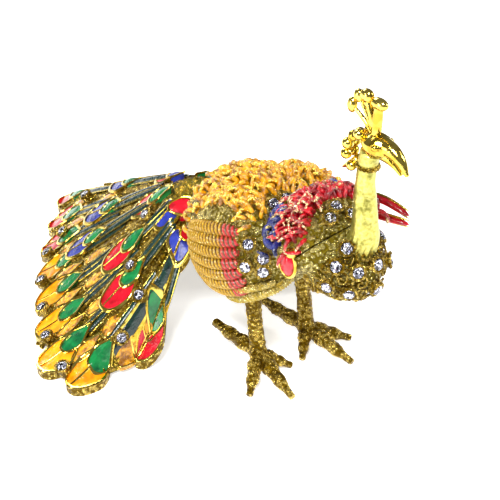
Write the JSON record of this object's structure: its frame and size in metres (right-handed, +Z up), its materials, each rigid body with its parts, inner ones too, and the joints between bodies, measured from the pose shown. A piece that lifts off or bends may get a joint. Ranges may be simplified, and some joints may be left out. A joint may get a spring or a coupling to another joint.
{
  "type": "peacock trinket box",
  "caption": "Standing peacock trinket box in gilt cast metal with enamel and glass stones; its back lifts off as a lid.",
  "frame": {"origin": "middle of the box around the bird, on the surface it stands on", "axes": "+Z up, the bird faces -Y and its tail points to +Y, its left side is +X"},
  "size_m": [0.0979, 0.133, 0.0792],
  "materials": {
    "gilt_metal": "polished gold plate with enamel",
    "clear_stone": "clear faceted glass"
  },
  "bodies": {
    "root": {"back_lid": "gilt_metal", "back_stone_1": "clear_stone", "back_stone_2": "clear_stone", "back_stone_3": "clear_stone", "back_stone_4": "clear_stone", "back_stone_5": "clear_stone", "back_stone_6": "clear_stone", "body_with_tail": "gilt_metal", "breast_stone_1": "clear_stone", "breast_stone_2": "clear_stone", "breast_stone_3": "clear_stone", "breast_stone_4": "clear_stone", "breast_stone_5": "clear_stone", "breast_stone_6": "clear_stone", "breast_stone_7": "clear_stone", "breast_stone_8": "clear_stone", "breast_stone_9": "clear_stone", "tail_stone_left_1": "clear_stone", "tail_stone_left_10": "clear_stone", "tail_stone_left_11": "clear_stone", "tail_stone_left_2": "clear_stone", "tail_stone_left_3": "clear_stone", "tail_stone_left_4": "clear_stone", "tail_stone_left_5": "clear_stone", "tail_stone_left_6": "clear_stone", "tail_stone_left_7": "clear_stone", "tail_stone_left_8": "clear_stone", "tail_stone_left_9": "clear_stone", "tail_stone_right_1": "clear_stone", "tail_stone_right_10": "clear_stone", "tail_stone_right_11": "clear_stone", "tail_stone_right_2": "clear_stone", "tail_stone_right_3": "clear_stone", "tail_stone_right_4": "clear_stone", "tail_stone_right_5": "clear_stone", "tail_stone_right_6": "clear_stone", "tail_stone_right_7": "clear_stone", "tail_stone_right_8": "clear_stone", "tail_stone_right_9": "clear_stone", "wing_stone_left_1": "clear_stone", "wing_stone_left_2": "clear_stone", "wing_stone_left_3": "clear_stone", "wing_stone_left_4": "clear_stone", "wing_stone_right_1": "clear_stone", "wing_stone_right_2": "clear_stone", "wing_stone_right_3": "clear_stone", "wing_stone_right_4": "clear_stone"}
  },
  "joints": []
}
